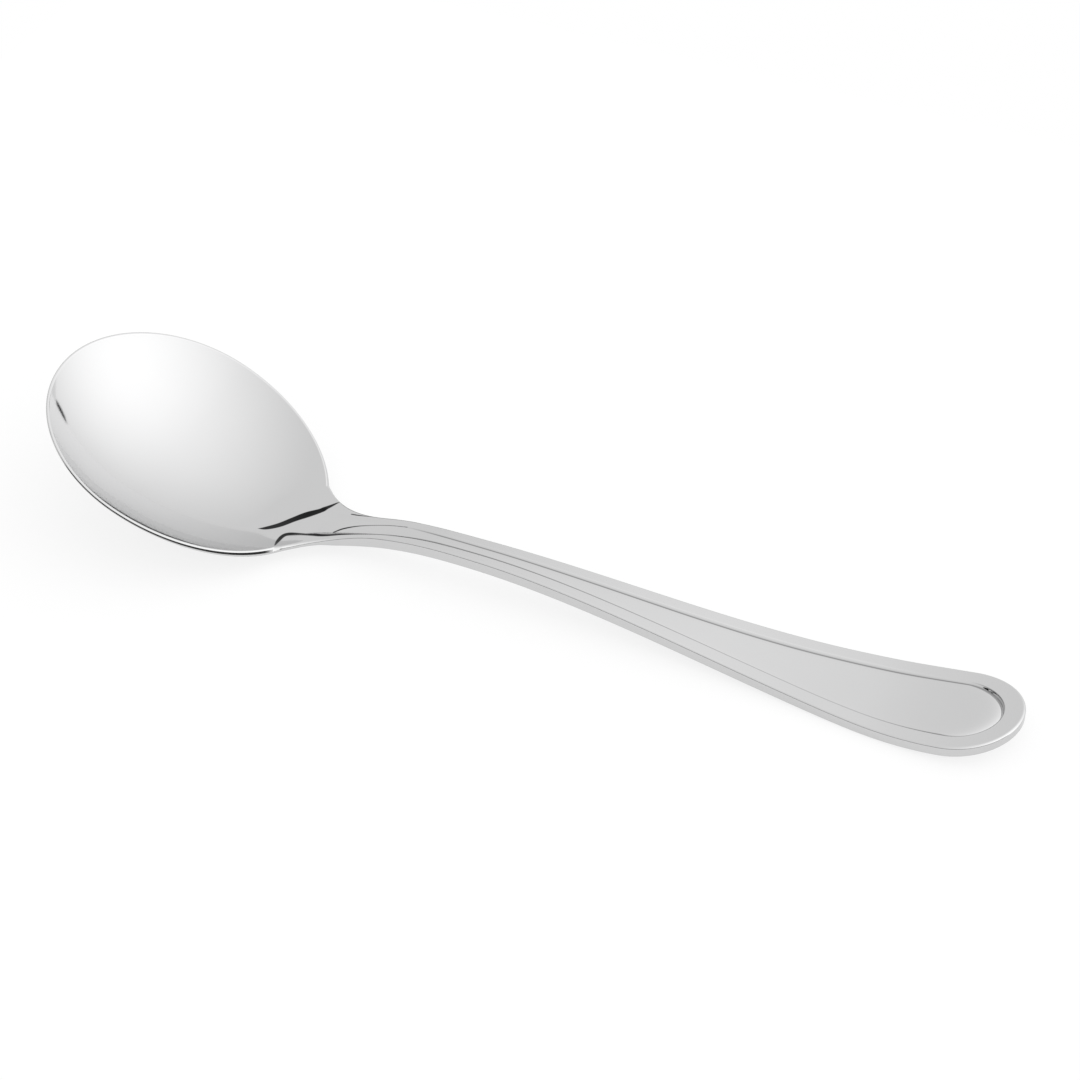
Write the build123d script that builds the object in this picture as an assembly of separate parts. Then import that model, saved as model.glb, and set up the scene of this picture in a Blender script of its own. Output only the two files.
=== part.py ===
from build123d import *
import os
from math import cos, radians, sin, sqrt, tan

# Soup spoon in polished steel, lying on a table: +X runs from the bowl's tip to the handle's end, +Z is up.
# The origin is on the table, at the middle of the length. Sizes are in millimetres and degrees.

# Bowl, with the rim's two lengths measured in its own plane from the place where it is widest
tip_length = 24.2
back_length = 28.2
bowl_width = 46.2
bowl_depth = 9.0
floor_thickness = 1.5
rim_land = 0.5
rim_tilt = 24.2

# Neck
heel_width = 20.6
neck_length = 19.8
flare_length = 15.6
neck_width = 6.1
neck_thickness = 2.3
neck_height = 6.6
heel_slope = 0.10
neck_slope = 0.14

# Handle, with each station measured along the table from the end of the neck
handle_length = 110.2
crest_offset = 14.8
crest_height = 7.3
rest_offset = 85.0
handle_thickness = 2.0
end_lift = 3.2
end_slope = 0.22
shank_offset = 35.5
shank_width = 7.9
shoulder_offset = 72.5
shoulder_width = 14.5
paddle_width = 19.8
end_round = 10.7
side_slopes = (-0.02, 0.06, 0.12, 0)

# Sunk panel on the handle's top
panel_depth = 0.4
panel_start = 5.5
neck_border = 1.55
shank_border = 2.05
shoulder_border = 2.4
paddle_border = 2.8
end_border = 4.3
panel_round = 8.0

tilt = radians(rim_tilt)
heel_share = sqrt(1 - (heel_width / bowl_width) ** 2)
overall_length = (tip_length + back_length * heel_share) * cos(tilt) + neck_length + handle_length
bowl_x = tip_length * cos(tilt) - overall_length / 2
heel_x = bowl_x + back_length * heel_share * cos(tilt)
root_x = heel_x + neck_length
end_x = root_x + handle_length


def cap_shape(inset, depth):
    """Egg whose lower cap fills the rim less an inset: tip, back and round radius, and height of its centre."""
    half_width = bowl_width / 2 - inset
    round_radius = (half_width**2 + depth**2) / (2 * depth)
    stretch = round_radius / half_width
    return (tip_length - inset) * stretch, (back_length - inset) * stretch, round_radius, round_radius - depth


outer_cap = cap_shape(0, bowl_depth + floor_thickness)
inner_cap = cap_shape(rim_land, bowl_depth)

# The widest place of the rim stands so high that the belly just touches the table.
belly_drop = sqrt((outer_cap[1] * sin(tilt)) ** 2 + (outer_cap[2] * cos(tilt)) ** 2)
rim_height = belly_drop - outer_cap[3] * cos(tilt)
heel_rim_height = rim_height - tan(tilt) * (heel_x - bowl_x)


def heel_height(cap):
    """Height of the egg's lower side on the centre line where the neck begins."""
    tip_radius, back_radius, round_radius, centre = cap
    run = heel_x - bowl_x
    rise = run * sin(tilt) - centre
    square = (sin(tilt) / back_radius) ** 2 + (cos(tilt) / round_radius) ** 2
    linear = 2 * cos(tilt) * (rise / round_radius**2 - run * sin(tilt) / back_radius**2)
    constant = (run * cos(tilt) / back_radius) ** 2 + (rise / round_radius) ** 2 - 1
    return rim_height - (linear + sqrt(linear**2 - 4 * square * constant)) / (2 * square)


def inner_heel_half_width():
    """Half the width of the rim's inner edge where the neck begins."""
    along = (heel_x - bowl_x) / ((back_length - rim_land) * cos(tilt))
    return (bowl_width / 2 - rim_land) * sqrt(1 - along**2)


def egg(cap):
    """Egg with a round middle, made of two stretched half balls."""
    tip_radius, back_radius, round_radius, centre = cap
    ball = Sphere(round_radius)
    tip_half = split(scale(ball, by=(tip_radius / round_radius, 1, 1)), bisect_by=Plane.YZ, keep=Keep.BOTTOM)
    back_half = split(scale(ball, by=(back_radius / round_radius, 1, 1)), bisect_by=Plane.YZ, keep=Keep.TOP)
    return Pos(0, 0, centre) * (tip_half + back_half)


def make_bowl():
    """Dished shell, cut flat at the rim, with its back end cut upright where the neck begins."""
    shell = split(egg(outer_cap), bisect_by=Plane.XY, keep=Keep.BOTTOM) - egg(inner_cap)
    placed = Pos(bowl_x, 0, rim_height) * Rot(0, rim_tilt, 0) * shell
    heel_plane = Plane(origin=(heel_x, 0, 0), x_dir=(0, 1, 0), z_dir=(1, 0, 0))
    return split(placed, bisect_by=heel_plane, keep=Keep.BOTTOM)


def hermite(start, end, start_slope, end_slope, span, t):
    """Smooth value between two ends with set slopes."""
    rise = start * (1 + 2 * t) * (1 - t) ** 2 + end * t**2 * (3 - 2 * t)
    return rise + span * t * (1 - t) * (start_slope * (1 - t) - end_slope * t)


def flare_half_width(t):
    """Half width of the neck, whose sides are arcs that run out into the handle's sides."""
    drop = (heel_width - neck_width) / 2
    radius = (flare_length**2 + drop**2) / (2 * drop)
    left = max(flare_length - neck_length * t, 0)
    return neck_width / 2 + radius - sqrt(radius**2 - left**2)


def dished_edge(x, half_width, middle, corner):
    """Line across the spoon, lowest in the middle and as high as its corners at both sides."""
    shares = (-1, -0.5, 0, 0.5, 1)
    return Spline(*[(x, s * half_width, middle + (corner - middle) * s**2) for s in shares])


def neck_section(t):
    """One upright slice of the neck, from the bowl's shell at 0 to the handle's bar at 1."""
    x = heel_x + t * neck_length
    fade = 1 - t
    heel_top = heel_height(inner_cap)
    heel_floor = heel_top - heel_height(outer_cap)
    top = hermite(heel_top, neck_height, heel_slope, neck_slope, neck_length, t)
    bottom = top - heel_floor - (neck_thickness - heel_floor) * t
    land = (heel_width / 2 - inner_heel_half_width()) * fade**3
    bottom_half = flare_half_width(t)
    top_corner = top + (heel_rim_height - heel_top) * fade**2
    bottom_corner = bottom + (heel_rim_height - heel_top + heel_floor) * fade**3
    upper = dished_edge(x, bottom_half - land, top, top_corner)
    lower = dished_edge(x, bottom_half, bottom, bottom_corner)
    near = Line(upper @ 0, lower @ 0)
    far = Line(upper @ 1, lower @ 1)
    return make_face([upper, far, lower, near])


def make_neck():
    return loft([neck_section(step / 5) for step in range(6)])


def side_curve(drop, share):
    """Handle line seen from the side: drop below the top face plus a share of the thickness."""
    crest_thickness = neck_thickness + (handle_thickness - neck_thickness) * crest_offset / rest_offset
    stations = (
        (root_x, neck_height - share * neck_thickness, neck_slope),
        (root_x + crest_offset, crest_height - share * crest_thickness, 0),
        (root_x + rest_offset, handle_thickness * (1 - share), 0),
        (end_x, end_lift + handle_thickness * (1 - share), end_slope),
    )
    points = [(x, z - drop) for x, z, slope in stations]
    return Spline(*points, tangents=[(1, slope) for x, z, slope in stations])


def side_solid(lower, upper):
    """Wide solid between two side lines of the handle."""
    first = Line(lower @ 0, upper @ 0)
    last = Line(lower @ 1, upper @ 1)
    return extrude(Plane.XZ * make_face([lower, last, upper, first]), amount=paddle_width, both=True)


def outline(start_x, widths, cap_x, cap_end_x):
    """Plan of the bar: straight-cut start, flowing sides and an oval end."""
    stations = (start_x, root_x + shank_offset, root_x + shoulder_offset, cap_x)
    half = [width / 2 for width in widths]
    far = Spline(*zip(stations, half), tangents=[(1, slope) for slope in side_slopes])
    cap = EllipticalCenterArc((cap_x, 0), cap_end_x - cap_x, half[-1], start_angle=-90, arc_size=180)
    near = mirror(far, Plane.XZ)
    start = Line(near @ 0, far @ 0)
    return make_face([start, far, cap, near])


def upright(plan):
    """Tall prism that stands on both sides of the table's level."""
    return extrude(plan, amount=overall_length, both=True)


def make_handle():
    """Bent bar with a paddle end and a shallow panel sunk into its top."""
    top = side_curve(0, 0)
    bottom = side_curve(0, 1)
    bar_widths = (neck_width, shank_width, shoulder_width, paddle_width)
    bar = side_solid(bottom, top) & upright(outline(root_x, bar_widths, end_x - end_round, end_x))
    borders = (neck_border, shank_border, shoulder_border, paddle_border)
    panel_widths = [width - 2 * border for width, border in zip(bar_widths, borders)]
    panel_end = end_x - end_border
    panel_plan = outline(root_x + panel_start, panel_widths, panel_end - panel_round, panel_end)
    above_panel = side_solid(side_curve(panel_depth, 0), side_curve(-crest_height, 0))
    return bar - (above_panel & upright(panel_plan))


os.makedirs("parts", exist_ok=True)
for name, piece in (("bowl", make_bowl()), ("neck", make_neck()), ("handle", make_handle())):
    export_step(piece, f"parts/{name}.step")
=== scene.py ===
from math import cos, pi, radians, sin, sqrt, tan

import bmesh
import bpy
import numpy as np
from mathutils import Matrix, Vector


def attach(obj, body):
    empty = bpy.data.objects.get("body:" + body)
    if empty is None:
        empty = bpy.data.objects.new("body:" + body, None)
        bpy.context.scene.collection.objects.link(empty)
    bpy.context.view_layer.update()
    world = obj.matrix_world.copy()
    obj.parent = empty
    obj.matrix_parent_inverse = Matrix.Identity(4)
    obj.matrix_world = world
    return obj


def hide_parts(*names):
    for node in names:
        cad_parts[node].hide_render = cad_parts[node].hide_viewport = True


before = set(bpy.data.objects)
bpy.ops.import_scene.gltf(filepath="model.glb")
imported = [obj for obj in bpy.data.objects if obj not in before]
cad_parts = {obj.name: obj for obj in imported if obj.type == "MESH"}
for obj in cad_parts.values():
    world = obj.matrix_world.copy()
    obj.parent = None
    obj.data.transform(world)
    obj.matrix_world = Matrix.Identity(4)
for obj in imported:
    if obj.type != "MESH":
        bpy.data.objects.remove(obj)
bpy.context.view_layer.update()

# Soup spoon in polished steel. The shapes below are worked out in millimetres, in the frame of the solids:
# +X runs from the bowl's tip to the handle's end, +Z is up and the table is at zero.
MM = 0.001

# Bowl, whose shell thickens from a share of the way out to the rim, and the middles where its mesh lines meet
tip_length = 24.2
back_length = 28.2
bowl_width = 46.2
bowl_depth = 9.0
floor_thickness = 1.5
rim_land = 0.5
rim_tilt = 24.2
thick_from = 0.72
hollow_middle = np.array((-62.0, 0.0))
belly_middle = np.array((-58.0, 0.0))

# Edge of the rim, as pairs for away from the heel and at the heel: the angle that its rounding turns through,
# the rounding's radius, the drop from the land to the bevel's foot, and the height of the upright wall below.
# The heel's edge gives way to the other one the sooner, the larger heel_fade is.
rim_lean = (radians(66), radians(60))
rim_round = (0.24, 0.22)
rim_bevel = (0.34, 0.47)
rim_wall = (0.12, 0.30)
heel_fade = 3.4

# Neck
heel_width = 20.6
neck_length = 19.8
flare_length = 15.6
neck_width = 6.1
neck_thickness = 2.3
neck_height = 6.6
heel_slope = 0.10
neck_slope = 0.14

# Tongue of the neck that runs down into the bowl, with a long dip in its middle
tongue_x = -39.3
tongue_slope = 0.20
tongue_soft = 1.6
tongue_blend = 0.25
tongue_dip = 0.35
dip_width = 5.0
dip_end = -37.0
dip_run = 5.0
# Slope of the border's level inside the bowl, and how far the hollow sinks below the border past the heel
border_fall = 0.03
hollow_sink = 0.1
hollow_sink_run = 3.0

# Lengths along the neck over which the rim's edge turns into the bar's, and the hollow into the bar's top
edge_run = 2.0
lean_run = 3.0
skew_run = 1.2
bar_start = 3.0
bar_run = 4.0
# How soon along the neck the underside and its edge turn into the bar's
under_speed = 2.2
edge_speed = 1.3

# Handle, with each station measured along the table from the end of the neck
handle_length = 110.2
crest_offset = 14.8
crest_height = 7.3
rest_offset = 85.0
handle_thickness = 2.0
end_lift = 3.2
end_slope = 0.22
shank_offset = 35.5
shank_width = 7.9
shoulder_offset = 72.5
shoulder_width = 14.5
paddle_width = 19.8
end_round = 10.7
side_slopes = (-0.02, 0.06, 0.12, 0)

# Edges of the bar: the rounding of both, the traces of bevel and wall below the upper one, the largest share
# of the side's height that the lower one takes, and how soon the underside inside it lies at its own level
edge_round = 0.42
edge_bevel = 0.01
edge_wall = 0.02
low_share = 0.6
under_fade = 3

# Sunk panel on the handle's top, which runs on through the neck as a widening channel
shank_border = 2.05
shoulder_border = 2.4
paddle_border = 2.8
end_border = 3.4
least_border = 0.7
panel_round = 8.0
end_spine = 0.45
end_wall_cut = 0.7
# Fall of the panel's floor towards its wall, as pairs for the sides and the handle's end
pillow_depth = (0.05, 0.62)
pillow_width = (0.35, 1.00)
pillow_start = -22.0
pillow_run = 14.0

# Fine dark lines painted at the foot of the panel's wall and, at the handle's end, along its top: painted
# dark reflections
foot_dark = 0.65
foot_place = 0.05
foot_width = 0.12
foot_start = -24.0
foot_run = 9.0
foot_end_cut = 0.5
top_dark = 0.55
top_width = 0.1
top_rise = 2

# Steel: its polishing lines, with their depth in metres, its faint clouds, the colour of the dark reflections
# painted along its creases and panel lines, and its roughness
line_stretch = (60, 1400, 1400)
line_scale = 2.0
line_detail = 3.0
cloud_scale = 45.0
cloud_detail = 4.0
tint_stops = (0.3, 0.7)
tint_colours = ((0.722, 0.722, 0.724, 1), (0.738, 0.738, 0.740, 1))
painted_reflection_colour = (0.012, 0.012, 0.013, 1)
smoothest = 0.05
roughest = 0.10
line_strength = 0.012
line_depth = 0.00001

# Studio: places are azimuth and elevation in degrees, and the spot's radii are degrees too.
# The gap's foot and top are sines of elevations, and its end is cosines of the angle from its place.
# The table is measured in metres.
light_place = (95, 25)
light_wrap = 0.1
light_power = 1.25
light_gain = 0.585
light_base = 0.794
gap_foot = (-0.01, 0.02)
gap_top = (0.21, 0.25)
gap_place = (326, -30)
gap_end = (-0.60, -0.52)
spot_place = (162, -5)
spot_radii = (4.8, 3.2)
gap_dark = 0.98
table_size = 0.36
table_drop = 0.00002
table_grey = 0.25
table_glow = 0.77
mirrored_glow = 0.60

# Meshes: numbers of lines, slices and rows, how they crowd, the step that slopes are taken over,
# and the gap in metres that is closed
heel_lines = 70
arc_lines = 150
heel_crowding = 0.35
hollow_rows = 150
hollow_crowding = 0.7
belly_rows = 45
belly_crowding = 0.8
land_rows = 7
round_rows = 9
bevel_rows = 6
wall_rows = 3
rim_rows = land_rows + round_rows + bevel_rows + wall_rows
neck_slices = 170
side_slices = 200
end_slices = 90
panel_rows = 30
panel_crowding = 0.8
panel_wall_rows = 14
border_rows = 21
side_rows = 4
low_rows = 6
under_rows = 17
crease_steps = 14
slope_step = 0.05
merge_gap = 0.000002

tilt = radians(rim_tilt)
heel_share = sqrt(1 - (heel_width / bowl_width) ** 2)
overall_length = (tip_length + back_length * heel_share) * cos(tilt) + neck_length + handle_length
bowl_x = tip_length * cos(tilt) - overall_length / 2
heel_x = bowl_x + back_length * heel_share * cos(tilt)
root_x = heel_x + neck_length
end_x = root_x + handle_length
cap_x = end_x - end_round
panel_cap_x = end_x - end_border - panel_round
panel_half = paddle_width / 2 - paddle_border
heel_side = rim_bevel[1] + rim_wall[1]


def smooth(t):
    """0 to 1 with level ends."""
    t = np.clip(t, 0, 1)
    return t * t * (3 - 2 * t)


def smooth_max(a, b, blend):
    return (a + b + np.sqrt((a - b) ** 2 + blend**2)) / 2


def shares(count):
    """Even shares from just above 0 up to 1."""
    return np.linspace(0, 1, count + 1)[1:]


def cubic(stations, x):
    """Smooth curve through (place, value, slope) stations, straight beyond both ends."""
    xs, values, slopes = (np.array(column, float) for column in zip(*stations))
    x = np.asarray(x, float)
    inside = np.clip(x, xs[0], xs[-1])
    i = np.clip(np.searchsorted(xs, inside, side="right") - 1, 0, len(xs) - 2)
    span = xs[i + 1] - xs[i]
    t = (inside - xs[i]) / span
    rise = values[i] * (1 + 2 * t) * (1 - t) ** 2 + values[i + 1] * t**2 * (3 - 2 * t)
    rise = rise + span * t * (1 - t) * (slopes[i] * (1 - t) - slopes[i + 1] * t)
    before = np.minimum(x - xs[0], 0) * slopes[0]
    after = np.maximum(x - xs[-1], 0) * slopes[-1]
    return rise + before + after


def cap_shape(inset, depth):
    """Egg whose lower cap fills the rim less an inset.
    Its tip, back and round radius are given, and the height of its centre."""
    half_width = bowl_width / 2 - inset
    round_radius = (half_width**2 + depth**2) / (2 * depth)
    stretch = round_radius / half_width
    return (tip_length - inset) * stretch, (back_length - inset) * stretch, round_radius, round_radius - depth


# The widest place of the rim stands so high that the belly just touches the table.
outer_cap = cap_shape(0, bowl_depth + floor_thickness)
inner_cap = cap_shape(rim_land, bowl_depth)
belly_drop = sqrt((outer_cap[1] * sin(tilt)) ** 2 + (outer_cap[2] * cos(tilt)) ** 2)
rim_height = belly_drop - outer_cap[3] * cos(tilt)


def rim_plane(x):
    return rim_height - tan(tilt) * (x - bowl_x)


def egg_drop(long_radius, round_radius, centre, run, y):
    """How far below the rim's middle the egg's lower side lies."""
    square = (sin(tilt) / long_radius) ** 2 + (cos(tilt) / round_radius) ** 2
    rise = run * sin(tilt) - centre
    linear = 2 * cos(tilt) * (rise / round_radius**2 - run * sin(tilt) / long_radius**2)
    constant = (run * cos(tilt) / long_radius) ** 2 + (y**2 + rise**2) / round_radius**2 - 1
    return (linear + np.sqrt(np.maximum(linear**2 - 4 * square * constant, 0))) / (2 * square)


def cap_height(cap, x, y):
    """Height of the tilted egg's lower side at places in plan."""
    tip_radius, back_radius, round_radius, centre = cap
    run = np.asarray(x, float) - bowl_x
    back = egg_drop(back_radius, round_radius, centre, run, y)
    tip = egg_drop(tip_radius, round_radius, centre, run, y)
    behind = run * cos(tilt) + back * sin(tilt) >= 0
    return rim_height - np.where(behind, back, tip)


heel_top = float(cap_height(inner_cap, heel_x, 0.0))
heel_floor = heel_top - float(cap_height(outer_cap, heel_x, 0.0))
heel_rim = rim_plane(heel_x)

# Lines along the spoon, as (x, value, slope) stations
crest_x = root_x + crest_offset
rest_x = root_x + rest_offset
shank_x = root_x + shank_offset
shoulder_x = root_x + shoulder_offset
crest_thickness = neck_thickness + (handle_thickness - neck_thickness) * crest_offset / rest_offset
neck_line = ((heel_x, heel_top, heel_slope), (root_x, neck_height, neck_slope))
top_line = (
    (root_x, neck_height, neck_slope),
    (crest_x, crest_height, 0),
    (rest_x, handle_thickness, 0),
    (end_x, end_lift + handle_thickness, end_slope),
)
bottom_line = (
    (root_x, neck_height - neck_thickness, neck_slope),
    (crest_x, crest_height - crest_thickness, 0),
    (rest_x, 0, 0),
    (end_x, end_lift, end_slope),
)
side_line = (
    (root_x, neck_width / 2, side_slopes[0]),
    (shank_x, shank_width / 2, side_slopes[1]),
    (shoulder_x, shoulder_width / 2, side_slopes[2]),
    (cap_x, paddle_width / 2, side_slopes[3]),
)
# Half width of the channel and the panel, how deep they lie below the border, and how wide their wall is
panel_line = (
    (-44.5, 6.4, -0.8),
    (-41.3, 4.75, -0.45),
    (-39.0, 3.95, -0.34),
    (-36.0, 3.1, -0.22),
    (-32.0, 2.5, -0.1),
    (-27.0, 2.15, -0.06),
    (-15.0, 1.5, -0.02),
    (shank_x, shank_width / 2 - shank_border, 0.05),
    (shoulder_x, shoulder_width / 2 - shoulder_border, 0.12),
    (panel_cap_x, panel_half, 0),
)
depth_line = (
    (-44.0, 0, 0),
    (-40.0, 0.20, 0.04),
    (-36.0, 0.30, 0),
    (-24.0, 0.25, -0.005),
    (-12.0, 0.24, 0),
    (shank_x, 0.32, 0.004),
    (shoulder_x, 0.42, 0),
    (70.0, 0.34, -0.015),
    (82.0, 0.12, -0.01),
    (end_x, 0.08, 0),
)
wall_line = ((-44.0, 0.9, 0), (-36.0, 0.8, -0.02), (-24.0, 0.6, 0), (shank_x, 0.5, 0), (end_x, 0.5, 0))

# Dark reflections painted along the creases at the heel and the neck, as (x, y, half width) in plan
heel_crease = (
    (-48.7, -4.3, 0.02),
    (-47.3, -3.6, 0.50),
    (-45.6, -2.15, 0.70),
    (-43.9, 0.1, 0.74),
    (-42.1, 2.1, 0.80),
    (-39.7, 4.15, 0.52),
    (-38.0, 6.2, 0.06),
)
rail_crease = (
    (-42.8, -8.7, 0.12),
    (-43.2, -6.9, 0.36),
    (-43.2, -5.3, 0.46),
    (-42.6, -4.4, 0.50),
    (-40.9, -3.9, 0.44),
    (-36.8, -3.7, 0.38),
    (-32.4, -2.7, 0.20),
    (-27.0, -2.1, 0.07),
)
channel_crease = (
    (-34.9, -2.0, 0.16),
    (-33.6, -0.7, 0.22),
    (-31.0, 0.4, 0.14),
    (-26.5, 1.1, 0.11),
    (-22.7, 1.32, 0.09),
)
far_crease = (
    (-34.2, 3.2, 0.12),
    (-32.9, 3.05, 0.14),
    (-30.4, 2.93, 0.08),
    (-27.4, 2.8, 0.07),
    (-24.5, 2.7, 0.06),
    (-18.4, 2.8, 0.05),
    (-12.0, 2.85, 0.02),
)
creases = (heel_crease, rail_crease, channel_crease, far_crease)
crease_soft = 0.14
crease_margin = 1


def border_height(x):
    """Level of the border, which carries the rim's land on through the neck to the handle's end."""
    share = np.clip((x - heel_x) / neck_length, None, 1)
    neck = cubic(neck_line, x) + (heel_rim - heel_top) * (1 - share) ** 2
    early = heel_rim - border_fall * (x - heel_x)
    return np.where(x < heel_x, early, np.where(x < root_x, neck, cubic(top_line, x)))


def side_half_width(x):
    """Half width of the neck's flare and of the handle."""
    drop = (heel_width - neck_width) / 2
    radius = (flare_length**2 + drop**2) / (2 * drop)
    left = np.clip(flare_length - (x - heel_x), 0, flare_length)
    flare = neck_width / 2 + radius - np.sqrt(radius**2 - left**2)
    return np.where(x < root_x, flare, cubic(side_line, x))


def sunk(x, across, wall, end):
    """Depth of the panel below the border: across is 0 at the wall's foot and 1 at its top.
    The floor falls off towards the wall, most of all where end is 1, at the handle's end."""
    depth, width = (side + (far - side) * end for side, far in (pillow_depth, pillow_width))
    inside = np.maximum(-across * wall, 0)
    fall = depth * np.exp(-inside / width) * smooth((x - pillow_start) / pillow_run)
    return (cubic(depth_line, x) + fall) * (1 - smooth(across))


def tongue_height(x, y):
    """Neck's top surface where it runs down into the bowl, with a dip along its middle."""
    wall = cubic(wall_line, x)
    across = (np.abs(y) - cubic(panel_line, x) + wall) / wall
    inside = tongue_x - x
    fall = tongue_slope * (inside + np.sqrt(inside**2 + tongue_soft**2)) / 2
    dip = tongue_dip * np.exp(-((y / dip_width) ** 2)) * smooth((dip_end - x) / dip_run)
    return border_height(x) - sunk(x, across, wall, 0) - fall - dip


def hollow_height(x, y):
    """Top surface in and near the bowl."""
    top = np.where(x < heel_x, rim_plane(x), border_height(x))
    cap = cap_height(inner_cap, x, y)
    cap = np.minimum(cap, top - hollow_sink * smooth((x - heel_x) / hollow_sink_run))
    return np.minimum(smooth_max(cap, tongue_height(x, y), tongue_blend), top)


def belly_height(x, y, side):
    """Underside of the shell, thicker towards the rim by the height of the rim's side."""
    cap = cap_height(outer_cap, x, y)
    along = (np.asarray(x) - bowl_x) / cos(tilt)
    length = np.where(along > 0, back_length, tip_length)
    radius = np.sqrt((along / length) ** 2 + (np.asarray(y) / (bowl_width / 2)) ** 2)
    return cap - side * np.clip((radius - thick_from) / (1 - thick_from), 0, 1) ** 2


def flowing_line(stations):
    """Rounded line through stations, as places and half widths at even steps."""
    table = np.array(stations, float)
    table = np.vstack((2 * table[0] - table[1], table, 2 * table[-1] - table[-2]))
    samples = []
    for i in range(1, len(table) - 2):
        before, start, end, after = table[i - 1 : i + 3]
        bend = 2 * before - 5 * start + 4 * end - after
        twist = 3 * start - before - 3 * end + after
        for t in np.linspace(0, 1, crease_steps, endpoint=False):
            samples.append(start + ((end - before) * t + (bend * t**2 + twist * t**3)) / 2)
    samples.append(table[-2])
    return np.array(samples)


def crease_mark(points, stations):
    """How dark each point is under one crease line of painted dark reflection: 1 inside the line and 0 away
    from it.
    """
    mark = np.zeros(len(points))
    line = flowing_line(stations)
    first = line[:, 0].min() - crease_margin
    last = line[:, 0].max() + crease_margin
    near = np.flatnonzero((points[:, 0] > first) & (points[:, 0] < last))
    if len(near) == 0:
        return mark
    gap = np.hypot(points[near, 0, None] - line[None, :, 0], points[near, 1, None] - line[None, :, 1])
    inside = (line[None, :, 2] - gap).max(axis=1)
    mark[near] = smooth(inside / crease_soft + 0.5)
    return mark


def make_object(name, half, faces, cut_faces, material):
    """Closed mesh of a far half and its mirror image.
    Each point is its x, y and z, the darkness of the painted reflection line on it, and 1 if the painted
    crease reflections can darken it."""
    half = np.asarray(half, float)
    count = len(half)
    points = np.vstack((half, half * (1, -1, 1, 1, 1)))
    dark = points[:, 3]
    for stations in creases:
        dark = np.maximum(dark, crease_mark(points, stations) * points[:, 4])
    flipped = [[count + i for i in reversed(face)] for face in faces]
    mesh = bpy.data.meshes.new(name)
    mesh.from_pydata((points[:, :3] * MM).tolist(), [], faces + flipped)
    cut = mesh.attributes.new("cut", "INT", "FACE")
    cut.data.foreach_set("value", list(cut_faces) * 2)
    # Painted dark reflections: how far the steel's colour is darkened at each point
    painted_reflection = mesh.attributes.new("painted_reflection", "FLOAT", "POINT")
    painted_reflection.data.foreach_set("value", dark)
    piece = bpy.data.objects.new(name, mesh)
    bpy.context.scene.collection.objects.link(piece)
    merge_and_smooth(mesh)
    mesh.materials.append(material)
    return piece


def merge_and_smooth(mesh):
    """Joins the two halves and shades them smoothly, with hard edges round the cut ends."""
    work = bmesh.new()
    work.from_mesh(mesh)
    bmesh.ops.remove_doubles(work, verts=work.verts, dist=merge_gap)
    bmesh.ops.dissolve_degenerate(work, edges=work.edges, dist=merge_gap / 2)
    bmesh.ops.recalc_face_normals(work, faces=work.faces)
    layer = work.faces.layers.int["cut"]
    for face in work.faces:
        face.smooth = True
    for edge in work.edges:
        edge.smooth = len({face[layer] for face in edge.link_faces}) == 1
    work.to_mesh(mesh)
    work.free()


def grid_faces(columns, rows):
    """Quads of a grid whose points are stored column by column."""
    faces = []
    for j in range(columns - 1):
        for i in range(rows - 1):
            a = j * rows + i
            faces.append([a, a + 1, a + rows + 1, a + rows])
    return faces


def rim_point(angle, inset):
    """Place in plan on the rim's ellipse, from the heel at 0 to the tip at a half turn."""
    length = np.where(np.cos(angle) > 0, back_length, tip_length) - inset
    x = bowl_x + length * np.cos(angle) * cos(tilt)
    return x, (bowl_width / 2 - inset) * np.sin(angle)


def rim_angles(inset, turn):
    """Angles round the rim, from the heel's corner where turn is 0 to the tip where it is 1."""
    first = np.arccos((heel_x - bowl_x) / ((back_length - inset) * cos(tilt)))
    return first + turn * (pi - first)


def edge_profile(lean, radius, bevel, wall):
    """Outward run and drop of points over a rounded edge, down a leaning bevel and an upright wall."""
    profile = [(radius * sin(a), radius * (1 - cos(a))) for a in np.linspace(0, lean, round_rows + 1)[1:]]
    run, drop = profile[-1]
    side = (bevel - drop) / tan(lean)
    for t in shares(bevel_rows):
        profile.append((run + side * t, drop + (bevel - drop) * t))
    for t in shares(wall_rows):
        profile.append((run + side, bevel + wall * t))
    return profile


def rim_edge(share):
    """Lean, rounding, bevel and wall of the rim's edge: share is 1 at the heel and 0 far from it."""
    return [away + (heel - away) * share for away, heel in (rim_lean, rim_round, rim_bevel, rim_wall)]


def rim_normal(place):
    """Outward direction in plan, square to the rim."""
    length = back_length if place[0] > bowl_x else tip_length
    normal = np.array(((place[0] - bowl_x) / (length * cos(tilt)) ** 2, place[1] / (bowl_width / 2) ** 2))
    return normal / np.linalg.norm(normal)


def rim_section(start, outer, share):
    """Points from the hollow's edge over the rim's land and side to the belly's start."""
    inner = start[:2]
    out = outer - inner
    width = np.linalg.norm(out)
    out = out / width
    skew = 1 / (out @ rim_normal(outer))
    profile = [(run * skew, drop) for run, drop in edge_profile(*rim_edge(share))]
    land_end = width - profile[-1][0]
    section = []
    for t in shares(land_rows):
        place = inner + out * land_end * t
        level = rim_plane(place[0]) + (start[2] - rim_plane(inner[0])) * (1 - smooth(t))
        section.append((place[0], place[1], level, 0, 0))
    for run, drop in profile:
        place = inner + out * (land_end + run)
        section.append((place[0], place[1], rim_plane(place[0]) - drop, 0, 0))
    return section


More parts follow.
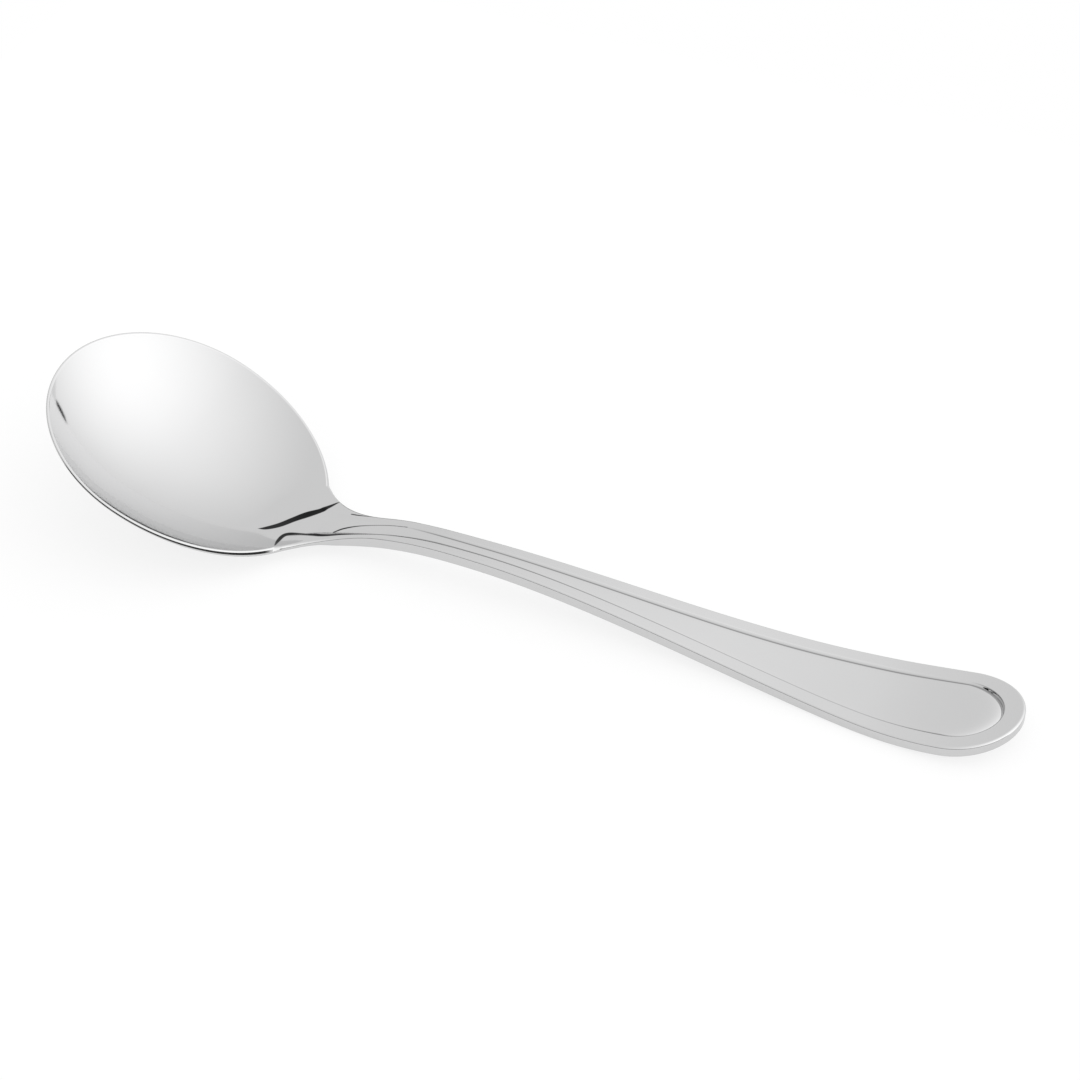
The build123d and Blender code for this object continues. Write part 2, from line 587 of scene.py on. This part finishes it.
def bowl_columns():
    """Pairs of places on the rim's inner and outer line, with the share of the heel's edge there.
    The first ones lie across the cut heel, and those round the rim are closer together near it."""
    turn = np.linspace(0, 1, arc_lines)
    turn = turn + heel_crowding * np.sin(pi * turn) * (turn - 1) * turn
    in_x, in_y = rim_point(rim_angles(rim_land, turn), rim_land)
    out_x, out_y = rim_point(rim_angles(0, turn), 0)
    share = np.exp(-((turn * heel_fade) ** 2))
    columns = []
    for part in np.linspace(0, 1, heel_lines, endpoint=False):
        columns.append(((heel_x, in_y[0] * part), (heel_x, out_y[0] * part), 1.0))
    for k in range(arc_lines):
        columns.append(((in_x[k], in_y[k]), (out_x[k], out_y[k]), share[k]))
    return columns


def bowl_line(inner, outer, share, at_heel):
    """One line of the bowl: out over the hollow, over the rim or down the cut heel, and in below."""
    side = sum(rim_edge(share)[2:])
    out_shares = np.linspace(0, 1, hollow_rows) ** hollow_crowding
    plan = hollow_middle + (inner - hollow_middle) * out_shares[:, None]
    heights = hollow_height(plan[:, 0], plan[:, 1])
    line = [(x, y, z, 0, 1) for (x, y), z in zip(plan, heights)]
    start = np.array(line[-1][:3])
    if at_heel:
        end = np.array((outer[0], outer[1], belly_height(outer[0], outer[1], side)))
        line += [(*(start + (end - start) * t), 0, 0) for t in shares(rim_rows)]
    else:
        line += rim_section(start, outer, share)
    rim_end = np.array(line[-1][:2])
    in_shares = np.linspace(1, 0, belly_rows) ** belly_crowding
    plan = belly_middle + (rim_end - belly_middle) * in_shares[1:, None]
    heights = belly_height(plan[:, 0], plan[:, 1], side)
    return line + [(x, y, z, 0, 0) for (x, y), z in zip(plan, heights)]


def make_bowl(material):
    """Shell with its hollow, rim and belly, as a fan of lines from the hollow's middle out over the rim."""
    points = []
    columns = bowl_columns()
    for j, (inner, outer, share) in enumerate(columns):
        points += bowl_line(np.array(inner), np.array(outer), share, j < heel_lines)
    rows = len(points) // len(columns)
    cut_rows = range(hollow_rows - 1, hollow_rows - 1 + rim_rows)
    flags = [int(j < heel_lines and i in cut_rows) for j in range(len(columns) - 1) for i in range(rows - 1)]
    return make_object("spoon_bowl", points, grid_faces(len(columns), rows), flags, material)


def edge_shape(x):
    """Lean, rounding, bevel and wall of the bar's upper edge, which takes over from the rim's at the heel."""
    lean, radius, bevel, wall = rim_edge(1)
    soon = float(smooth((x - heel_x) / edge_run))
    later = float(smooth((x - heel_x) / lean_run))
    lean = lean + (pi / 2 - lean) * later
    radius = radius + (edge_round - radius) * soon
    bevel = bevel + (radius * (1 - cos(lean)) + edge_bevel - bevel) * soon
    return lean, radius, bevel, wall * (1 - soon) + edge_wall * soon


def line_darkness(x, across, wall, end):
    """How dark the painted reflection lines at the foot and the top of the panel's wall are."""
    foot = foot_dark * np.exp(-((((across - foot_place) * wall) / foot_width) ** 2))
    foot = foot * smooth((x - foot_start) / foot_run)
    top = top_dark * np.exp(-((((across - 1) * wall) / top_width) ** 2))
    return max(foot * (1 - foot_end_cut * end), top * smooth(top_rise * end))


def top_point(place, across, wall, end):
    """Point of the bar's top face with the darkness of its painted reflection line."""
    x, y = place
    share = smooth((x - heel_x - bar_start) / bar_run)
    height = (border_height(x) - sunk(x, across, wall, end)) * share + hollow_height(x, y) * (1 - share)
    return x, y, float(height), float(line_darkness(x, across, wall, end)), 1


def top_points(spine, foot, panel, flat_end, wall, end):
    """Top of a half slice, from its middle over the panel's floor, up the wall and out over the border."""
    past_wall = 3.0
    points = []
    for t in np.linspace(0, 1, panel_rows) ** panel_crowding:
        place = spine + (foot - spine) * t
        points.append(top_point(place, -np.linalg.norm(foot - place) / wall, wall, end))
    for t in shares(panel_wall_rows):
        points.append(top_point(foot + (panel - foot) * t, t, wall, end))
    for t in shares(border_rows):
        points.append(top_point(panel + (flat_end - panel) * t, past_wall, wall, end))
    return points


def under_points(outline, normal, spine, upper, bottom):
    """Rest of a half slice, from the edge's lower end down the side and in to the underside's middle."""
    edge_low = bottom(*outline)
    low_round = max(min(edge_round, (upper - edge_low) * low_share), 0)
    points = []
    for t in shares(side_rows):
        points.append((*outline, upper + (edge_low + low_round - upper) * t, 0, 0))
    for angle in np.linspace(0, pi / 2, low_rows + 1)[1:]:
        place = outline - normal * low_round * (1 - cos(angle))
        points.append((*place, edge_low + low_round * (1 - sin(angle)), 0, 0))
    last = np.array(points[-1][:2])
    gap = points[-1][2] - bottom(*last)
    for t in shares(under_rows):
        place = last + (spine - last) * t
        points.append((*place, bottom(*place) + gap * (1 - float(smooth(t * under_fade))), 0, 0))
    return points


def half_section(outline, panel, spine_x, normal, panel_normal, bottom, end=0, skew=1):
    """Points of one half slice of the bar, from the top's middle over the edge to the underside's middle."""
    outline, panel = np.array(outline, float), np.array(panel, float)
    normal, panel_normal = np.array(normal, float), np.array(panel_normal, float)
    spine = np.array((spine_x, 0.0))
    wall = float(cubic(wall_line, panel[0])) * (1 - end_wall_cut * end)
    foot = panel - panel_normal * wall
    profile = [(run * skew, drop) for run, drop in edge_profile(*edge_shape(outline[0]))]
    flat_end = outline - normal * profile[-1][0]
    points = top_points(spine, foot, panel, flat_end, wall, end)
    level = points[-1][2]
    for run, drop in profile:
        points.append((*(flat_end + normal * run), level - drop, 0, 1))
    return points + under_points(outline, normal, spine, points[-1][2], bottom)


def neck_bottom(x, y):
    """Underside of the neck: the belly's end turns into the bar's flat underside."""
    share = (x - heel_x) / neck_length
    belly = float(belly_height(x, y, heel_side))
    centre = float(cubic(neck_line, x)) - heel_floor - (neck_thickness - heel_floor) * share
    edge_thickness = heel_side + (neck_thickness - heel_side) * float(smooth(share * edge_speed))
    edge = float(border_height(x)) - edge_thickness
    bar = centre + (edge - centre) * (y / float(side_half_width(x))) ** 2
    mix = float(smooth(share * under_speed))
    return belly * (1 - mix) + bar * mix


def handle_bottom(x, y):
    return float(cubic(bottom_line, x))


def make_neck(material):
    """Upright slices from the bowl's heel to the handle, with the skew of the rim's edge at the heel."""
    heel_skew = 1 / rim_normal(np.array((heel_x, heel_width / 2)))[1]
    lines = []
    for x in np.linspace(heel_x, root_x, neck_slices):
        width = float(side_half_width(x))
        panel = float(min(cubic(panel_line, x), width - least_border))
        flare_slope = float(side_half_width(x + slope_step) - side_half_width(x)) / slope_step
        share = float(smooth((x - heel_x) / skew_run))
        skew = heel_skew + (sqrt(1 + flare_slope**2) - heel_skew) * share
        lines.append(half_section((x, width), (x, panel), x, (0, 1), (0, 1), neck_bottom, skew=skew))
    return bar_object("spoon_neck", lines, True, material)


def side_slice(t):
    """Half slice of the handle's bar, from its start at 0 to the oval end's start at 1."""
    x = root_x + (cap_x - root_x) * t
    panel_x = root_x + (panel_cap_x - root_x) * t
    rise = float(cubic(side_line, x + slope_step)) - float(cubic(side_line, x - slope_step))
    slope = rise / (2 * slope_step)
    normal = np.array((-slope, 1)) / sqrt(1 + slope**2) if t > 0 else (0, 1)
    panel = (panel_x, float(cubic(panel_line, panel_x)))
    return half_section((x, float(cubic(side_line, x))), panel, panel_x, normal, (0, 1), handle_bottom)


def end_slice(angle):
    """Half slice of the handle's oval end, from across at a quarter turn to along at 0."""
    edge = (cap_x + end_round * cos(angle), paddle_width / 2 * sin(angle))
    panel = (panel_cap_x + panel_round * cos(angle), panel_half * sin(angle))
    normal = np.array((cos(angle) / end_round, sin(angle) / (paddle_width / 2)))
    panel_normal = np.array((cos(angle) / panel_round, sin(angle) / panel_half))
    normal = normal / np.linalg.norm(normal)
    panel_normal = panel_normal / np.linalg.norm(panel_normal)
    spine_x = panel_cap_x + end_spine * panel_round * cos(angle)
    return half_section(edge, panel, spine_x, normal, panel_normal, handle_bottom, cos(angle))


def make_handle(material):
    """Bent bar with a paddle end and a shallow panel sunk into its top."""
    lines = [side_slice(t) for t in np.linspace(0, 1, side_slices)]
    lines += [end_slice(angle) for angle in np.linspace(pi / 2, 0, end_slices)[1:]]
    return bar_object("spoon_handle", lines, False, material)


def bar_object(name, lines, cut_end, material):
    """Bar made of half slices, closed with a flat face at its start and, if asked, at its end."""
    rows = len(lines[0])
    faces = grid_faces(len(lines), rows)
    flags = [0] * len(faces)
    points = [point for line in lines for point in line]
    for line in (0, len(lines) - 1) if cut_end else (0,):
        faces.append(list(range(line * rows, (line + 1) * rows)))
        flags.append(1)
    return make_object(name, points, faces, flags, material)


def noise(tree, place, scale, detail):
    """Noise texture at places, as the output that holds its value."""
    node = tree.nodes.new("ShaderNodeTexNoise")
    node.inputs["Scale"].default_value = scale
    node.inputs["Detail"].default_value = detail
    tree.links.new(place, node.inputs["Vector"])
    return node.outputs["Fac"]


def steel_colour(tree, place):
    """Faintly clouded grey, with the dark reflections painted along the creases and fine lines over it."""
    tint = tree.nodes.new("ShaderNodeValToRGB")
    for stop, position, colour in zip(tint.color_ramp.elements, tint_stops, tint_colours):
        stop.position = position
        stop.color = colour
    tree.links.new(noise(tree, place, cloud_scale, cloud_detail), tint.inputs["Fac"])
    # Painted dark reflections, read from the mesh and mixed into the colour
    painted_reflection = tree.nodes.new("ShaderNodeAttribute")
    painted_reflection.attribute_name = "painted_reflection"
    mix = tree.nodes.new("ShaderNodeMix")
    mix.data_type = "RGBA"
    factor, clean, painted_dark = mix.inputs[0], mix.inputs[6], mix.inputs[7]
    painted_dark.default_value = painted_reflection_colour
    tree.links.new(painted_reflection.outputs["Fac"], factor)
    tree.links.new(tint.outputs["Color"], clean)
    return mix.outputs[2]


def steel_material():
    """Mirror-polished stainless steel with fine polishing lines, and dark reflections painted into its colour
    along its creases.
    """
    material = bpy.data.materials.new("polished_steel")
    material.use_nodes = True
    tree = material.node_tree
    shader = tree.nodes["Principled BSDF"]
    shader.inputs["Metallic"].default_value = 1.0
    place = tree.nodes.new("ShaderNodeTexCoord").outputs["Object"]
    tree.links.new(steel_colour(tree, place), shader.inputs["Base Color"])
    stretch = tree.nodes.new("ShaderNodeMapping")
    stretch.inputs["Scale"].default_value = line_stretch
    tree.links.new(place, stretch.inputs["Vector"])
    lines = noise(tree, stretch.outputs["Vector"], line_scale, line_detail)
    gloss = tree.nodes.new("ShaderNodeMapRange")
    gloss.inputs["To Min"].default_value = smoothest
    gloss.inputs["To Max"].default_value = roughest
    tree.links.new(lines, gloss.inputs["Value"])
    tree.links.new(gloss.outputs["Result"], shader.inputs["Roughness"])
    bump = tree.nodes.new("ShaderNodeBump")
    bump.inputs["Strength"].default_value = line_strength
    bump.inputs["Distance"].default_value = line_depth
    tree.links.new(lines, bump.inputs["Height"])
    tree.links.new(bump.outputs["Normal"], shader.inputs["Normal"])
    return material


def math_node(tree, operation, first, second):
    """Sum, product or the like of two values, each a number or another node's output."""
    node = tree.nodes.new("ShaderNodeMath")
    node.operation = operation
    for socket, value in zip(node.inputs, (first, second)):
        if isinstance(value, (int, float)):
            socket.default_value = value
        else:
            tree.links.new(value, socket)
    return node.outputs["Value"]


def direction(azimuth, elevation):
    """Direction from the spoon: azimuth 0 is its near side and 90 its handle's end."""
    a, e = radians(azimuth), radians(elevation)
    return sin(a) * cos(e), -cos(a) * cos(e), sin(e)


def make_world():
    """White studio: a broad soft light from the handle's side and two dark places in it.
    A low gap runs all round but for a stretch from the handle's end to behind the spoon.
    A small spot lies behind the spoon, just below the table's level."""
    world = bpy.data.worlds.new("studio")
    bpy.context.scene.world = world
    world.use_nodes = True
    tree = world.node_tree
    background = tree.nodes["Background"]
    ray = tree.nodes.new("ShaderNodeTexCoord").outputs["Generated"]

    def calc(operation, first, second):
        return math_node(tree, operation, first, second)

    def ramp(value, low, high):
        node = tree.nodes.new("ShaderNodeMapRange")
        node.interpolation_type = "SMOOTHSTEP"
        node.inputs["From Min"].default_value = low
        node.inputs["From Max"].default_value = high
        tree.links.new(value, node.inputs["Value"])
        return node.outputs["Result"]

    def along(vector):
        node = tree.nodes.new("ShaderNodeVectorMath")
        node.operation = "DOT_PRODUCT"
        tree.links.new(ray, node.inputs[0])
        node.inputs[1].default_value = vector
        return node.outputs["Value"]

    facing = calc("DIVIDE", calc("ADD", along(direction(*light_place)), light_wrap), 1 + light_wrap)
    lobe = calc("POWER", calc("MAXIMUM", facing, 0.0), light_power)
    light = calc("ADD", calc("MULTIPLY", lobe, light_gain), light_base)
    height = along((0, 0, 1))
    low_gap = calc("MULTIPLY", ramp(height, *gap_foot), calc("SUBTRACT", 1.0, ramp(height, *gap_top)))
    gap = calc("MULTIPLY", low_gap, ramp(along(direction(*gap_place)), *gap_end))
    spot = ramp(along(direction(*spot_place)), *(cos(radians(radius)) for radius in spot_radii))
    dark = calc("MULTIPLY", calc("MAXIMUM", gap, spot), gap_dark)
    level = calc("MULTIPLY", light, calc("SUBTRACT", 1.0, dark))
    seen = tree.nodes.new("ShaderNodeLightPath").outputs["Is Camera Ray"]
    mix = calc("ADD", calc("MULTIPLY", level, calc("SUBTRACT", 1.0, seen)), seen)
    tree.links.new(mix, background.inputs["Strength"])
    background.inputs["Color"].default_value = (1, 1, 1, 1)


def table_material():
    """White that keeps the spoon's soft shadow and shows in the steel too."""
    material = bpy.data.materials.new("white_table")
    material.use_nodes = True
    tree = material.node_tree
    shader = tree.nodes["Principled BSDF"]
    shader.inputs["Base Color"].default_value = (table_grey, table_grey, table_grey, 1)
    shader.inputs["Roughness"].default_value = 0.9
    shader.inputs["Specular IOR Level"].default_value = 0.0
    shader.inputs["Emission Color"].default_value = (1, 1, 1, 1)
    path = tree.nodes.new("ShaderNodeLightPath")
    plain = math_node(tree, "MULTIPLY", path.outputs["Is Camera Ray"], table_glow)
    mirrored = math_node(tree, "MULTIPLY", path.outputs["Is Glossy Ray"], mirrored_glow)
    tree.links.new(math_node(tree, "ADD", plain, mirrored), shader.inputs["Emission Strength"])
    return material


def make_floor():
    """Square of the table under the spoon."""
    bpy.ops.mesh.primitive_plane_add(size=table_size, location=(0, 0, -table_drop))
    floor = bpy.context.object
    floor.name = "table"
    floor.data.materials.append(table_material())


def make_camera():
    """Camera at the photograph's place: to the right of the spoon's front and above it."""
    azimuth, elevation, roll = radians(24.9522), radians(38.5635), radians(-0.1324)
    shift_x, shift_y, distance = -2.8575, -9.4314, 507.057
    back = Vector((sin(azimuth) * cos(elevation), -cos(azimuth) * cos(elevation), sin(elevation)))
    right = Vector((cos(azimuth), sin(azimuth), 0))
    up = back.cross(right)
    right, up = right * cos(roll) + up * sin(roll), up * cos(roll) - right * sin(roll)
    place = (right * -shift_x + up * -shift_y + back * distance) * MM
    data = bpy.data.cameras.new("camera")
    data.lens = 100.0
    data.sensor_width = 36.0
    data.clip_start = 0.01
    camera = bpy.data.objects.new("camera", data)
    bpy.context.scene.collection.objects.link(camera)
    turn = Matrix((right, up, back)).transposed().to_4x4()
    camera.matrix_world = Matrix.Translation(place) @ turn
    bpy.context.scene.camera = camera


steel = steel_material()
for node, piece in (("bowl", make_bowl(steel)), ("neck", make_neck(steel)), ("handle", make_handle(steel))):
    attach(piece, "root")
    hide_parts(node)
make_world()
make_floor()
make_camera()
bpy.context.scene.view_settings.view_transform = "Standard"
